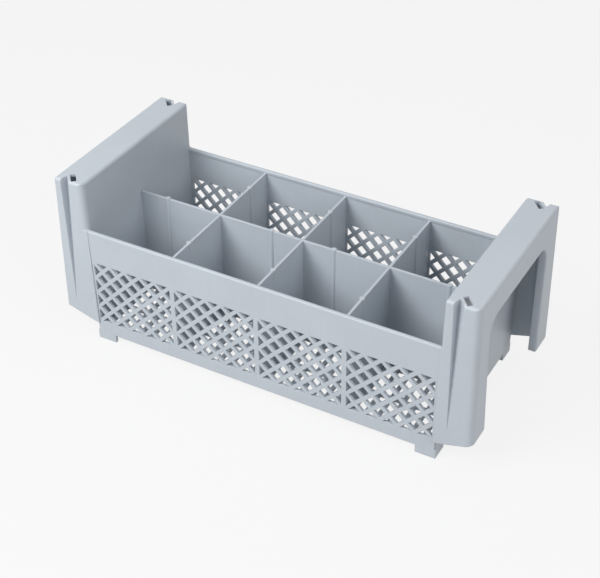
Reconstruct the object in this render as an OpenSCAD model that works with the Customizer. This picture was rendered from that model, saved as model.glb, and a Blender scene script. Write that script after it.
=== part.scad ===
// Half-rack cutlery holder for a commercial dishwasher, moulded in one piece.
// Eight compartments stand in two rows between two raised hollow end hoods.
// X runs along the length, Y across it, and Z up from the plane of the feet.
// The origin is at the middle of the footprint, on the plane of the feet.

/* [Overall] */
// Length over the two hoods, at their top plates
overall_l = 425; // [380:1:480]
// Width over the hoods, at their top plates
overall_w = 177.5; // [150:0.5:210]
// Height from the feet to the top of the hoods
overall_h = 176; // [160:1:200]
// Wall thickness of the moulding
wall = 3; // [2.4:0.1:3.4]

/* [Long walls] */
// Height of the long walls above the plane of the feet
rim_h = 126; // [118:1:140]
// How far a long wall leans in, from its rim to its foot
side_draft = 1.6; // [0.6:0.1:2]
// How far the rim stays behind the faces of the hoods
rim_setback = 0.3; // [0.2:0.1:1]
// Width of the rim on top of a long wall
rim_w = 4; // [3.5:0.1:5]
// Depth of the thickened rim
rim_d = 3.5; // [2:0.1:5]
// Radius of the rounded edges of the rim
rim_r = 1.2; // [0.5:0.1:1.5]

/* [Lattice windows] */
// Height of the lower edge of the windows
window_z = 22; // [18:0.5:26]
// Height of a window
window_h = 69; // [56:1:76]
// Width of the plain bar between two windows
mullion_w = 4.8; // [3:0.1:8]
// Whole diamonds along a window
diamonds_x = 5; // [3:1:6]
// Whole diamonds up a window
diamonds_z = 4; // [2:1:5]
// Width of a diagonal rib
rib_w = 3.6; // [2.4:0.1:4.4]

/* [Compartments] */
// Compartments along each row
cells_x = 4; // [3:1:5]
// Thickness of the dividers
divider_t = 2.5; // [2:0.1:3]
// How far the dividers stay below the rim
divider_drop = 3.5; // [1:0.5:10]
// Diameter of the round stiffening ribs on the dividers
rib_d = 5; // [4:0.1:7]
// How far the stiffening ribs stand above the dividers
rib_rise = 0.8; // [0.3:0.1:2]
// Place of the ribs on a cross divider, from the centre line
cross_rib_y = 54.5; // [30:0.5:65]
// Place of the inner ribs on the long divider, from the middle
inner_rib_x = 33; // [20:0.5:40]
// Place of the outer ribs on the long divider, from the middle
outer_rib_x = 149; // [130:0.5:155]

/* [Floor and feet] */
// Height of the feet below the walls
foot_h = 8.3; // [5:0.1:12]
// Length of a foot along the long wall
foot_l = 20; // [15:1:30]
// Depth of a foot along the end wall
foot_d = 18; // [12:1:25]
// Thickness of the slotted floor
floor_t = 3; // [2:0.1:4]
// Drain slots along each compartment
slots_x = 7; // [4:1:8]
// Drain slots across each compartment
slots_y = 2; // [1:1:3]
// Width of the bars between the drain slots
bar_w = 3.5; // [2.5:0.1:5]

/* [End hoods] */
// Width of a hood's top plate
hood_w = 31.5; // [29:0.5:40]
// How far a hood's outer wall leans out, from its top to the feet plane
hood_flare = 3; // [1:0.1:5]
// How far an end wall leans in, from its top to the feet plane
end_draft = 3; // [1:0.1:5]
// Height of a hood's lower edge beside the end wall
hood_low_z = 20; // [14:1:30]
// Height of a hood's lower edge at the outer wall
hood_high_z = 29; // [22:1:40]
// Radius round the top edges of a hood
hood_top_r = 3; // [1.5:0.1:4]
// Corner radius beside the flat strip
strip_corner_r = 2.5; // [1:0.1:3]
// Corner radius beside the rounded pillar
pillar_corner_r = 6.5; // [4:0.1:8]

/* [Hand holds] */
// Width of the arched hand hold, at its widest
arch_w = 131; // [100:1:136]
// How much narrower the arch is at its foot, on each side
arch_taper = 4.5; // [0:0.5:8]
// Height of the arch's top
arch_top = 150; // [130:1:155]
// Corner radius of the arch
arch_r = 18; // [8:1:25]

/* [Grooves] */
// Width of the flat strip between a groove and the hood's corner
strip_w = 7.5; // [6:0.1:8]
// Width of a groove in the face, at the top plate
groove_w = 9.5; // [7:0.1:10]
// Depth of a groove at the top plate
groove_d = 7.5; // [5:0.1:9]
// How far the groove's steep side leans at the top plate
groove_side = 2.2; // [1:0.1:3]
// Width of the groove's floor
groove_floor = 1; // [0.6:0.1:2]
// Height at which a groove has run out into the face
groove_end_z = 40; // [35:1:80]
// Wall between a groove and the drain slot beside it
slot_web = 1.8; // [1.4:0.1:2.4]
// Width of the drain slot through the top plate
slot_w = 5; // [3:0.1:6]
// Length of the drain slot
slot_l = 12.5; // [8:0.5:16]

/* [Hidden] */
moulding_color = [0.73, 0.77, 0.82];
$fn = 32;

half_l = overall_l / 2;
half_w = overall_w / 2;
// Outer face of a long wall at its rim and at its foot, from the centre line
rim_y = half_w - rim_setback;
foot_y = rim_y - side_draft;
// The end wall's inner face at the top, where it is also the hood's inner face
end_x = half_l - hood_w;
wall_foot_z = foot_h;
// The end wall's inner face at the floor
end_foot_x = end_x - end_draft * (overall_h - wall_foot_z) / overall_h;
divider_h = rim_h - divider_drop;
// Spacing of the cross dividers
cell_pitch = (2 * end_foot_x + divider_t) / cells_x;
window_w = cell_pitch - mullion_w;

// Inner face of the end wall at height z
function end_inner(z) = end_x - end_draft * (overall_h - z) / overall_h;
// Outer face of the hood at height z
function hood_outer(z) = half_l + hood_flare * (overall_h - z) / overall_h;
// Rectangle from lo to hi with a radius at each corner, counted from lo against the clock.
// A radius of 0 leaves its corner sharp.
module rounded_rect(lo, hi, radii) {
    corners = [lo, [hi.x, lo.y], hi, [lo.x, hi.y]];
    inward = [[1, 1], [-1, 1], [-1, -1], [1, -1]];
    polygon([for (i = [0:3]) each radii[i] == 0 ? [corners[i]] : (
        i % 2 == 0
            ? [corners[i] + [0, inward[i].y * radii[i]], corners[i] + [inward[i].x * radii[i], 0]]
            : [corners[i] + [inward[i].x * radii[i], 0], corners[i] + [0, inward[i].y * radii[i]]]
    )]);
    for (i = [0:3])
        if (radii[i] > 0) translate(corners[i] + inward[i] * radii[i]) circle(radii[i]);
}

// Long wall with its lattice windows, drawn in elevation: x is along, y is up
module window_pattern() {
    step_x = window_w / diamonds_x;
    step_z = window_h / diamonds_z;
    // Half diagonals of a diamond opening, which leave ribs of rib_w
    shrink = 1 - rib_w * norm([step_x, step_z]) / (step_x * step_z);
    half_x = step_x / 2 * shrink;
    half_z = step_z / 2 * shrink;
    for (i = [0:2 * diamonds_x], j = [0:2 * diamonds_z])
        if ((i + j) % 2 == 1)
            translate([i * step_x / 2, j * step_z / 2])
                diamond(half_x, half_z, i == 0, i == 2 * diamonds_x, j == 0, j == 2 * diamonds_z);
}

// Diamond opening, halved where it meets an edge of its window
module diamond(a, b, left, right, low, high) {
    polygon(concat(
        left ? [] : [[-a, 0]],
        low ? [] : [[0, -b]],
        right ? [] : [[a, 0]],
        high ? [] : [[0, b]]
    ));
}

module long_wall_outline() {
    difference() {
        polygon([
            [-end_inner(wall_foot_z) - wall / 2, wall_foot_z],
            [end_inner(wall_foot_z) + wall / 2, wall_foot_z],
            [end_inner(rim_h) + wall / 2, rim_h - rim_r],
            [-end_inner(rim_h) - wall / 2, rim_h - rim_r]
        ]);
        for (i = [0:cells_x - 1])
            translate([(i - cells_x / 2) * cell_pitch + mullion_w / 2, window_z])
                window_pattern();
    }
}

// Section of the rim: a band with rounded upper edges, its outer face at y = 0
module rim_section() {
    translate([rim_r, -rim_r]) circle(rim_r);
    translate([rim_w - rim_r, -rim_r]) circle(rim_r);
    translate([rim_r, -rim_r]) square([rim_w - 2 * rim_r, rim_r]);
    translate([0, -rim_d]) square([rim_w, rim_d - rim_r]);
}

// Front wall: leans in to its foot, with its outer face on the hood's face at the rim
module long_wall() {
    lean = atan(side_draft / (rim_h - wall_foot_z));
    translate([0, -rim_y, rim_h]) rotate([lean, 0, 0])
        translate([0, wall, -rim_h]) rotate([90, 0, 0]) linear_extrude(wall) long_wall_outline();
    rim_l = 2 * end_inner(rim_h) + wall;
    translate([-rim_l / 2, -rim_y, rim_h]) rotate([90, 0, 90])
        linear_extrude(rim_l) rim_section();
}

// Lower end wall, from the foot of the walls up into the hood
module end_wall() {
    top_z = hood_high_z;
    y = foot_y - wall / 2;
    rotate([90, 0, 0]) linear_extrude(2 * y, center = true) polygon([
        [end_inner(wall_foot_z), wall_foot_z],
        [end_inner(wall_foot_z) + wall, wall_foot_z],
        [end_inner(top_z) + wall, top_z],
        [end_inner(top_z), top_z]
    ]);
}

module floor_grid() {
    len_x = 2 * end_inner(wall_foot_z) + wall;
    len_y = 2 * foot_y - wall;
    row_w = foot_y - wall - divider_t / 2;
    slot_x = (cell_pitch - divider_t - (slots_x + 1) * bar_w) / slots_x;
    slot_y = (row_w - (slots_y + 1) * bar_w) / slots_y;
    translate([0, 0, wall_foot_z]) linear_extrude(floor_t) difference() {
        square([len_x, len_y], center = true);
        for (i = [0:cells_x - 1], side = [-1, 1], u = [0:slots_x - 1], v = [0:slots_y - 1])
            translate([
                (i - cells_x / 2) * cell_pitch + divider_t / 2 + bar_w + u * (slot_x + bar_w),
                side * (divider_t / 2 + bar_w + v * (slot_y + bar_w) + slot_y / 2) - slot_y / 2
            ]) square([slot_x, slot_y]);
    }
}

module dividers() {
    base_z = wall_foot_z + floor_t / 2;
    height = divider_h - base_z;
    long_l = 2 * end_inner(wall_foot_z) + wall;
    cross_l = 2 * foot_y - wall;
    translate([0, 0, base_z + height / 2]) {
        cube([long_l, divider_t, height], center = true);
        for (i = [1:cells_x - 1])
            translate([(i - cells_x / 2) * cell_pitch, 0, 0])
                cube([divider_t, cross_l, height], center = true);
    }
    for (i = [1:cells_x - 1], side = [-1, 1])
        translate([(i - cells_x / 2) * cell_pitch, side * cross_rib_y, base_z]) stiffening_rib(height);
    for (x = [inner_rib_x, outer_rib_x], side = [-1, 1])
        translate([side * x, 0, base_z]) stiffening_rib(height);
}

module stiffening_rib(height) {
    cylinder(h = height + rib_rise, d = rib_d);
}

// L-shaped foot under the corner between a long wall and an end wall
module foot() {
    inner_x = end_inner(wall_foot_z) + wall;
    y = foot_y;
    translate([inner_x - foot_l, -y, 0]) cube([foot_l, wall, foot_h + floor_t / 2]);
    translate([inner_x - wall, -y, 0]) cube([wall, foot_d, foot_h + floor_t / 2]);
}

// Tapered groove in the front face: a V-shaped prism that tilts out of the face as it goes down.
// grow widens it on every side, for the wall that follows it inside the hood.
module groove_prism(grow) {
    tilt = atan(groove_d / (overall_h - groove_end_z));
    valley_x = end_x + strip_w + groove_side;
    floor_half = groove_floor / 2 + grow / 2;
    reach = 3 * groove_d;
    left_slope = groove_side / groove_d;
    right_slope = (groove_w - groove_side - groove_floor) / groove_d;
    translate([valley_x + groove_floor / 2, groove_d + grow - half_w, overall_h]) rotate([-tilt, 0, 0])
        translate([0, 0, -overall_h]) linear_extrude(2 * overall_h) polygon([
            [-floor_half, 0],
            [-floor_half - grow / 2 - reach * left_slope, -reach],
            [floor_half + grow / 2 + reach * right_slope, -reach],
            [floor_half, 0]
        ]);
}

// Drain slot through the top plate, beside the groove's slanted wall
module plate_slot() {
    slant = atan((groove_w - groove_side - groove_floor) / groove_d);
    start_x = end_x + strip_w + groove_w + slot_web;
    translate([start_x, -half_w + wall / 2, overall_h - 2 * wall])
        rotate([0, 0, slant]) linear_extrude(3 * wall) square([slot_w, slot_l]);
}

// Arched hand hold in elevation: x is across the holder, y is up
module arch_outline() {
    half = arch_w / 2;
    foot = half - arch_taper;
    spring_z = arch_top - arch_r;
    polygon([
        [-foot, 0], [foot, 0], [half, spring_z], [half - arch_r, arch_top],
        [-half + arch_r, arch_top], [-half, spring_z]
    ]);
    for (side = [-1, 1]) translate([side * (half - arch_r), spring_z]) circle(arch_r);
}

// Block of the hood's form, drawn in by inset on every side, with rounded upright corners
module hood_block(inset) {
    top_z = overall_h - inset;
    low_z = -inset;
    edge_r = max(hood_top_r - inset, 0);
    y = half_w - inset;
    pillar_r = pillar_corner_r - inset;
    strip_r = max(strip_corner_r - inset, 0);
    outer_lean = atan(hood_flare / overall_h);
    inner_lean = atan(end_draft / overall_h);
    reach = 4 * hood_w;
    middle = end_x + hood_w / 2;
    intersection() {
        // Across the holder: the two leaning faces and the top
        rotate([90, 0, 0]) linear_extrude(2 * overall_w, center = true) hood_section(inset);
        // Along the holder: the front, the back and the top
        translate([middle - reach, 0, 0]) rotate([90, 0, 90]) linear_extrude(2 * reach)
            rounded_rect([-y, low_z], [y, top_z], [0, 0, edge_r, edge_r]);
        // Rounded corners at the outer face
        translate([half_l - inset, 0, overall_h]) rotate([0, -outer_lean, 0])
            translate([0, 0, -1.5 * overall_h]) linear_extrude(2 * overall_h)
                rounded_rect([-reach, -y], [0, y], [0, pillar_r, strip_r, 0]);
        // Rounded corners at the inner face, above the rim only
        union() {
            translate([end_x + inset, 0, overall_h]) rotate([0, inner_lean, 0])
                translate([0, 0, -1.5 * overall_h]) linear_extrude(2 * overall_h)
                    rounded_rect([0, -y], [reach, y], [strip_r, 0, 0, pillar_r]);
            translate([middle - reach, -overall_w, -overall_h])
                cube([2 * reach, 2 * overall_w, overall_h + rim_h]);
        }
    }
}

// Section of a hood, drawn in by inset: x is along the holder, y is up
module hood_section(inset) {
    top_z = overall_h - inset;
    r = max(hood_top_r - inset, 0);
    outer = hood_outer(top_z) - inset;
    inner = end_inner(top_z) + inset;
    polygon(concat(
        [[end_inner(0) + inset, 0], [hood_outer(0) - inset, 0]],
        r == 0 ? [[outer, top_z], [inner, top_z]] : [
            [hood_outer(top_z - r) - inset, top_z - r], [outer - r, top_z],
            [inner + r, top_z], [end_inner(top_z - r) + inset, top_z - r]
        ]
    ));
    if (r > 0) for (x = [outer - r, inner + r]) translate([x, top_z - r]) circle(r);
}

// One hood: a hollow inverted U over the end wall, open beneath
module hood() {
    difference() {
        hood_block(0);
        difference() {
            hood_block(wall);
            for (a = [0, 180]) turn_about_hood(a) groove_prism(wall);
        }
        for (a = [0, 180]) turn_about_hood(a) {
            groove_prism(0);
            plate_slot();
        }
        translate([end_x + hood_w / 2, 0, 0]) rotate([90, 0, 90]) linear_extrude(hood_w) arch_outline();
        hood_underside();
    }
}

// Turns its children half round the hood's own middle, which repeats the groove at the back
module turn_about_hood(a) {
    middle = end_x + hood_w / 2;
    translate([middle, 0, 0]) rotate([0, 0, a]) translate([-middle, 0, 0]) children();
}

// Removes what lies below the hood's sloping lower edge
module hood_underside() {
    reach = 2 * hood_w;
    rise = (hood_high_z - hood_low_z) / hood_w;
    rotate([90, 0, 0]) linear_extrude(2 * overall_w, center = true) polygon([
        [end_x - reach, -overall_h],
        [end_x + reach, -overall_h],
        [end_x + reach, hood_low_z + rise * reach],
        [end_x, hood_low_z],
        [end_x - reach, hood_low_z]
    ]);
}

module basket() {
    color(moulding_color) union() {
        floor_grid();
        dividers();
        for (a = [0, 180]) rotate([0, 0, a]) {
            long_wall();
            end_wall();
            hood();
            foot();
            mirror([0, 1, 0]) foot();
        }
    }
}

basket();
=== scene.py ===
"""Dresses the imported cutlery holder, and sets its camera, floor and studio light."""

import logging
import math
from dataclasses import dataclass, field
from enum import Enum

import bmesh
import bpy
from mathutils import Matrix, Vector


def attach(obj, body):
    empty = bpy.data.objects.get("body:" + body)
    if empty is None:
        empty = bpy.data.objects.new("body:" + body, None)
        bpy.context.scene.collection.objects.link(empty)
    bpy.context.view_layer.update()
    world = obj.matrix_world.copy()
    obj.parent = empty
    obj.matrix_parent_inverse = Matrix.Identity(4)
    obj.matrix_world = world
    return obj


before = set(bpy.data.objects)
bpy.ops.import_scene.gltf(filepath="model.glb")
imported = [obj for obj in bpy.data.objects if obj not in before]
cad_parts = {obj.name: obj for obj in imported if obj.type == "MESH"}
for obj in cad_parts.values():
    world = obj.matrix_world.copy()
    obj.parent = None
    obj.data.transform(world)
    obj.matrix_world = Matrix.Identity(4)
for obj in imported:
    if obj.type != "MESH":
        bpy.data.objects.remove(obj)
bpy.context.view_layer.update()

log = logging.getLogger("cutlery_holder")
Colour = tuple[float, float, float, float]

MM = 0.001


class End(Enum):
    """The two ends of the holder, by the sign of X."""

    LEFT = -1
    RIGHT = 1


class Wires:
    """Makes nodes in one node tree and links them."""

    def __init__(self, tree: bpy.types.NodeTree) -> None:
        """Keeps the tree.

        Args:
            tree: The node tree to work in.
        """
        self.tree = tree

    def node(self, kind: str, **values: object) -> bpy.types.Node:
        """Makes a node and sets its properties.

        Args:
            kind: The node's type name, without the leading ShaderNode.
            values: Properties of the node.

        Returns:
            The new node.
        """
        made = self.tree.nodes.new("ShaderNode" + kind)
        for name, value in values.items():
            setattr(made, name, value)
        return made

    def link(self, source: bpy.types.NodeSocket, target: bpy.types.NodeSocket) -> None:
        """Links one socket to another."""
        self.tree.links.new(source, target)

    def math(self, operation: str, *terms: object) -> bpy.types.NodeSocket:
        """Makes a Math node from numbers and sockets.

        Args:
            operation: The operation's name.
            terms: Numbers or sockets, in order.

        Returns:
            The result's socket.
        """
        made = self.node("Math", operation=operation)
        for target, term in zip(made.inputs, terms):
            if isinstance(term, (int, float)):
                target.default_value = term
            else:
                self.link(term, target)
        return made.outputs[0]

    def noise(self, scale: float, stretch: Vector, detail: float) -> bpy.types.NodeSocket:
        """Makes a noise on Object coordinates.

        Args:
            scale: Cells per metre.
            stretch: Scale along each axis.
            detail: Octaves of the noise.

        Returns:
            The noise's value, about 0.5 on average.
        """
        place = self.node("TexCoord")
        mapping = self.node("Mapping")
        mapping.inputs["Scale"].default_value = stretch
        made = self.node("TexNoise")
        made.inputs["Scale"].default_value = scale
        made.inputs["Detail"].default_value = detail
        self.link(place.outputs["Object"], mapping.inputs["Vector"])
        self.link(mapping.outputs["Vector"], made.inputs["Vector"])
        return made.outputs["Fac"]


@dataclass(frozen=True)
class MouldedSurface:
    """Shader group for an injection-moulded surface: mottle, drag marks and fine grain."""

    name: str = "moulded_surface"
    mottle_scale: float = 22.0
    drag_scale: float = 260.0
    drag_stretch: tuple[float, float, float] = (1.0, 1.0, 0.06)
    grain_scale: float = 1500.0

    def build(self) -> bpy.types.NodeTree:
        """Makes the group.

        Returns:
            The node group, with Colour, Roughness and Height outputs.
        """
        tree = bpy.data.node_groups.new(self.name, "ShaderNodeTree")
        for name, kind in (
            ("Colour", "NodeSocketColor"),
            ("Mottle", "NodeSocketFloat"),
            ("Roughness", "NodeSocketFloat"),
            ("Roughness Spread", "NodeSocketFloat"),
            ("Edge", "NodeSocketFloat"),
        ):
            tree.interface.new_socket(name, in_out="INPUT", socket_type=kind)
        for name, kind in (
            ("Colour", "NodeSocketColor"),
            ("Roughness", "NodeSocketFloat"),
            ("Height", "NodeSocketFloat"),
        ):
            tree.interface.new_socket(name, in_out="OUTPUT", socket_type=kind)
        wires = Wires(tree)
        given = tree.nodes.new("NodeGroupInput")
        result = tree.nodes.new("NodeGroupOutput")
        even = Vector((1.0, 1.0, 1.0))
        mottle = wires.noise(self.mottle_scale, even, 3.0)
        drag = wires.noise(self.drag_scale, Vector(self.drag_stretch), 2.0)
        grain = wires.noise(self.grain_scale, even, 1.0)

        cloudy = wires.math("ADD", mottle, wires.math("MULTIPLY", drag, 0.4))
        spread = wires.math("MULTIPLY", wires.math("SUBTRACT", cloudy, 0.7), given.outputs["Mottle"])
        # The Edge input lightens the colour along the rounded edges: a painted highlight
        value = wires.math("ADD", wires.math("ADD", spread, 1.0), given.outputs["Edge"])
        tint = wires.node("HueSaturation")
        wires.link(value, tint.inputs["Value"])
        wires.link(given.outputs["Colour"], tint.inputs["Color"])
        wires.link(tint.outputs["Color"], result.inputs["Colour"])

        rough = wires.math(
            "MULTIPLY", wires.math("SUBTRACT", mottle, 0.5), given.outputs["Roughness Spread"]
        )
        wires.link(
            wires.math("ADD", rough, given.outputs["Roughness"]), result.inputs["Roughness"]
        )
        wires.link(
            wires.math("ADD", grain, wires.math("MULTIPLY", drag, 0.5)), result.inputs["Height"]
        )
        return tree


@dataclass(frozen=True)
class SatinPlastic:
    """Satin bluish-grey moulded plastic, with softly rounded edges."""

    name: str = "satin_grey_moulding"
    colour: Colour = (0.50, 0.545, 0.595, 1.0)
    mottle: float = 0.10
    roughness: float = 0.44
    roughness_spread: float = 0.22
    edge_radius: float = 0.9 * MM
    # How much the colour is lightened along the rounded edges: a painted highlight
    edge_highlight_paint: float = 0.5
    grain_strength: float = 0.22
    grain_height: float = 0.04 * MM
    ior: float = 1.49

    def build(self, surface: bpy.types.NodeTree) -> bpy.types.Material:
        """Makes the material.

        Args:
            surface: The moulded surface group.

        Returns:
            The material.
        """
        material = bpy.data.materials.new(self.name)
        material.use_nodes = True
        wires = Wires(material.node_tree)
        shader = material.node_tree.nodes["Principled BSDF"]
        shader.inputs["IOR"].default_value = self.ior

        rounded = wires.node("Bevel", samples=6)
        rounded.inputs["Radius"].default_value = self.edge_radius
        flat = wires.node("NewGeometry")
        facing = wires.node("VectorMath", operation="DOT_PRODUCT")
        wires.link(rounded.outputs["Normal"], facing.inputs[0])
        wires.link(flat.outputs["Normal"], facing.inputs[1])
        # Lighter where the rounded normal leans away from the flat one, that is along every edge: a
        # painted highlight on the rounded edges
        edge = wires.math("SUBTRACT", 1.0, facing.outputs["Value"])
        edge = wires.math("MULTIPLY", wires.math("MAXIMUM", edge, 0.0), self.edge_highlight_paint)

        group = wires.node("Group", node_tree=surface)
        group.inputs["Colour"].default_value = self.colour
        group.inputs["Mottle"].default_value = self.mottle
        group.inputs["Roughness"].default_value = self.roughness
        group.inputs["Roughness Spread"].default_value = self.roughness_spread
        wires.link(edge, group.inputs["Edge"])

        bump = wires.node("Bump")
        bump.inputs["Strength"].default_value = self.grain_strength
        bump.inputs["Distance"].default_value = self.grain_height
        wires.link(group.outputs["Height"], bump.inputs["Height"])
        wires.link(rounded.outputs["Normal"], bump.inputs["Normal"])
        wires.link(group.outputs["Colour"], shader.inputs["Base Color"])
        wires.link(group.outputs["Roughness"], shader.inputs["Roughness"])
        wires.link(bump.outputs["Normal"], shader.inputs["Normal"])
        return material


@dataclass
class Basket:
    """The one-piece moulding, carried over from the CAD."""

    node: str = "basket"

    def dress(self, material: bpy.types.Material) -> None:
        """Gives every material slot of the moulding its finish.

        Args:
            material: The finish.
        """
        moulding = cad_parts[self.node]
        if not moulding.material_slots:
            moulding.data.materials.append(material)
        for place in moulding.material_slots:
            place.material = material
        log.info("dressed %s", self.node)


@dataclass
class ArchLip:
    """Lip turned in round the arched hand hold of one hood."""

    end: End
    half_width: float = 65.5 * MM
    taper: float = 4.5 * MM
    top: float = 150.0 * MM
    corner_radius: float = 18.0 * MM
    foot_z: float = 29.8 * MM
    face_x: float = 212.5 * MM
    flare: float = 3.0 * MM
    holder_height: float = 176.0 * MM
    behind_face: float = 0.3 * MM
    depth: float = 7.5 * MM
    stands_in: float = 0.6 * MM
    thickness: float = 2.2 * MM
    edge_round: float = 0.5 * MM
    corner_steps: int = 12

    def section(self, work: bmesh.types.BMesh) -> list[bmesh.types.BMEdge]:
        """Draws the lip's rounded section at its left foot.

        Args:
            work: The mesh in the making.

        Returns:
            The section's edges.
        """
        made = bmesh.ops.create_grid(work, x_segments=1, y_segments=1, size=0.5)
        deep = self.depth - self.behind_face
        bmesh.ops.scale(work, vec=(deep, self.thickness, 1.0), verts=made["verts"])
        bmesh.ops.bevel(
            work, geom=made["verts"], offset=self.edge_round, offset_type="OFFSET",
            affect="VERTICES", segments=3, profile=0.5, material=-1,
        )
        inner_y = self.half_width - self.taper - self.stands_in
        bmesh.ops.translate(
            work,
            vec=(
                self.face_x - self.behind_face - deep / 2,
                -inner_y - self.thickness / 2,
                self.foot_z,
            ),
            verts=work.verts[:],
        )
        edges = work.edges[:]
        bmesh.ops.delete(work, geom=work.faces[:], context="FACES_ONLY")
        return edges

    def run(
        self, work: bmesh.types.BMesh, edges: list[bmesh.types.BMEdge], step: Vector
    ) -> list[bmesh.types.BMEdge]:
        """Extrudes the section straight.

        Args:
            work: The mesh in the making.
            edges: The section's edges.
            step: How far it goes.

        Returns:
            The edges at the far end.
        """
        made = bmesh.ops.extrude_edge_only(work, edges=edges)["geom"]
        verts = [part for part in made if isinstance(part, bmesh.types.BMVert)]
        bmesh.ops.translate(work, vec=step, verts=verts)
        return [part for part in made if isinstance(part, bmesh.types.BMEdge)
                and all(corner in verts for corner in part.verts)]

    def turn(
        self, work: bmesh.types.BMesh, edges: list[bmesh.types.BMEdge], centre: Vector
    ) -> list[bmesh.types.BMEdge]:
        """Spins the section a quarter turn round a corner of the arch.

        Args:
            work: The mesh in the making.
            edges: The section's edges.
            centre: The corner's centre.

        Returns:
            The edges at the far end.
        """
        made = bmesh.ops.spin(
            work, geom=edges, cent=centre, axis=(1.0, 0.0, 0.0), dvec=(0.0, 0.0, 0.0),
            angle=-math.pi / 2, steps=self.corner_steps, use_duplicate=False,
        )["geom_last"]
        return [part for part in made if isinstance(part, bmesh.types.BMEdge)]

    def build(self, material: bpy.types.Material) -> bpy.types.Object:
        """Makes the lip and hangs it on the frame.

        Args:
            material: The finish.

        Returns:
            The lip's object.
        """
        work = bmesh.new()
        first = self.section(work)
        spring_z = self.top - self.corner_radius
        straight = 2 * (self.half_width - self.corner_radius)
        centre = Vector((0.0, -straight / 2, spring_z))
        rise = spring_z - self.foot_z
        edges = self.run(work, first, Vector((0.0, -self.taper, rise)))
        edges = self.turn(work, edges, centre)
        edges = self.run(work, edges, Vector((0.0, straight, 0.0)))
        edges = self.turn(work, edges, centre + Vector((0.0, straight, 0.0)))
        last = self.run(work, edges, Vector((0.0, -self.taper, -rise)))
        bmesh.ops.contextual_create(work, geom=first)
        bmesh.ops.contextual_create(work, geom=last)
        # The hood's outer face leans out towards its foot, and the lip leans with it
        for corner in work.verts:
            below_top = (self.holder_height - corner.co.z) / self.holder_height
            corner.co.x += self.flare * below_top
        bmesh.ops.scale(work, vec=(self.end.value, 1.0, 1.0), verts=work.verts[:])
        bmesh.ops.remove_doubles(work, verts=work.verts[:], dist=0.01 * MM)
        bmesh.ops.recalc_face_normals(work, faces=work.faces[:])

        name = f"{self.end.name.lower()}_arch_lip"
        mesh = bpy.data.meshes.new(name)
        work.to_mesh(mesh)
        work.free()
        mesh.materials.append(material)
        for face in mesh.polygons:
            face.use_smooth = True
        mesh.set_sharp_from_angle(angle=math.radians(50.0))
        lip = bpy.data.objects.new(name, mesh)
        bpy.context.scene.collection.objects.link(lip)
        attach(lip, "root")
        log.info("built %s", name)
        return lip


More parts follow.
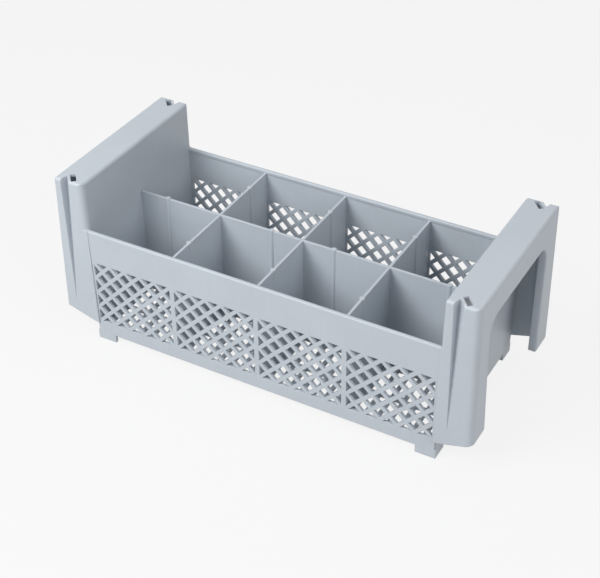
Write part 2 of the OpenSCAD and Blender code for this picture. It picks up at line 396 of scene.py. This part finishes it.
@dataclass
class Studio:
    """Pale floor, soft lamps, white surroundings and the photograph's camera."""

    floor_size: float = 6.0
    floor_colour: Colour = (0.55, 0.55, 0.55, 1.0)
    floor_lift: float = 0.85
    sky_colour: Colour = (0.96, 0.98, 1.0, 1.0)
    sky_strength: float = 0.26
    image_width: int = 600
    focal_px: float = 1371.886
    azimuth: float = 29.307
    elevation: float = 36.326
    roll: float = -0.3615
    offset: tuple[float, float, float] = (2.6426, 11.2057, 1296.022)
    target: tuple[float, float, float] = (0.0, 0.0, 80.0)
    lamps: list[tuple[str, float, float, float, float, float]] = field(
        default_factory=lambda: [
            ("key", -28.0, 42.0, 1.7, 0.9, 24.0),
            ("fill", 70.0, 30.0, 1.9, 1.2, 11.0),
            ("top", 160.0, 72.0, 1.6, 1.0, 2.5),
        ]
    )

    def direction(self, azimuth: float, elevation: float) -> Vector:
        """Gives the direction from the holder towards a viewer or a lamp.

        Args:
            azimuth: Degrees from -Y, towards +X.
            elevation: Degrees above the horizon.

        Returns:
            A unit vector.
        """
        turn, lift = math.radians(azimuth), math.radians(elevation)
        return Vector((
            math.sin(turn) * math.cos(lift), -math.cos(turn) * math.cos(lift), math.sin(lift)
        ))

    def shown(self, wires: Wires) -> bpy.types.NodeSocket:
        """Makes a mask of the rays that show the surroundings as white."""
        path = wires.node("LightPath")
        seen = wires.math("MAXIMUM", path.outputs["Is Camera Ray"], path.outputs["Is Glossy Ray"])
        return wires.math("MAXIMUM", seen, path.outputs["Is Transmission Ray"])

    def floor(self) -> None:
        """Lays the pale floor, which keeps a soft shadow."""
        work = bmesh.new()
        bmesh.ops.create_grid(work, x_segments=1, y_segments=1, size=self.floor_size)
        mesh = bpy.data.meshes.new("floor")
        work.to_mesh(mesh)
        work.free()
        material = bpy.data.materials.new("pale_floor")
        material.use_nodes = True
        wires = Wires(material.node_tree)
        material.node_tree.nodes.remove(material.node_tree.nodes["Principled BSDF"])
        matt = wires.node("BsdfDiffuse")
        matt.inputs["Color"].default_value = self.floor_colour
        white = wires.node("Emission")
        mixed = wires.node("MixShader")
        wires.link(wires.math("MULTIPLY", self.shown(wires), self.floor_lift), mixed.inputs[0])
        wires.link(matt.outputs[0], mixed.inputs[1])
        wires.link(white.outputs[0], mixed.inputs[2])
        wires.link(mixed.outputs[0], material.node_tree.nodes["Material Output"].inputs["Surface"])
        mesh.materials.append(material)
        floor = bpy.data.objects.new("floor", mesh)
        bpy.context.scene.collection.objects.link(floor)

    def sky(self) -> None:
        """Lights the scene evenly from all round, and shows itself as white."""
        world = bpy.data.worlds.new("surroundings")
        world.use_nodes = True
        wires = Wires(world.node_tree)
        even = world.node_tree.nodes["Background"]
        even.inputs["Color"].default_value = self.sky_colour
        even.inputs["Strength"].default_value = self.sky_strength
        white = wires.node("Background")
        white.inputs["Color"].default_value = (1.0, 1.0, 1.0, 1.0)
        mixed = wires.node("MixShader")
        wires.link(self.shown(wires), mixed.inputs[0])
        wires.link(even.outputs[0], mixed.inputs[1])
        wires.link(white.outputs[0], mixed.inputs[2])
        wires.link(mixed.outputs[0], world.node_tree.nodes["World Output"].inputs["Surface"])
        bpy.context.scene.world = world

    def light(self) -> None:
        """Places the soft lamps, each turned towards the holder."""
        aim = Vector(self.target) * MM
        for name, azimuth, elevation, distance, size, power in self.lamps:
            lamp = bpy.data.lights.new(name, "AREA")
            lamp.size = size
            lamp.energy = power
            placed = bpy.data.objects.new(name, lamp)
            towards = self.direction(azimuth, elevation)
            placed.location = aim + towards * distance
            placed.rotation_euler = towards.to_track_quat("Z", "Y").to_euler()
            bpy.context.scene.collection.objects.link(placed)

    def camera(self) -> None:
        """Places the camera at the photograph's viewing angle, with no shift."""
        back = self.direction(self.azimuth, self.elevation)
        right = (-back).cross(Vector((0.0, 0.0, 1.0))).normalized()
        up = right.cross(-back)
        tilt = math.radians(self.roll)
        across = math.cos(tilt) * right + math.sin(tilt) * up
        upright = -math.sin(tilt) * right + math.cos(tilt) * up
        side, lift, distance = self.offset
        place = Vector(self.target) - side * across - lift * upright + distance * back
        lens = bpy.data.cameras.new("photograph_view")
        lens.lens = self.focal_px / self.image_width * lens.sensor_width
        viewer = bpy.data.objects.new("photograph_view", lens)
        pose = Matrix((across, upright, back)).transposed().to_4x4()
        pose.translation = place * MM
        viewer.matrix_world = pose
        bpy.context.scene.collection.objects.link(viewer)
        bpy.context.scene.camera = viewer

    def build(self) -> None:
        """Builds the whole studio."""
        bpy.context.scene.view_settings.view_transform = "Standard"
        self.floor()
        self.sky()
        self.light()
        self.camera()
        log.info("set the studio")


def main() -> None:
    """Dresses the holder, adds its arch lips and sets the studio."""
    logging.basicConfig(level=logging.INFO, format="%(name)s: %(message)s")
    finish = SatinPlastic().build(MouldedSurface().build())
    Basket().dress(finish)
    for end in End:
        ArchLip(end).build(finish)
    Studio().build()


if __name__ == "__main__":
    main()
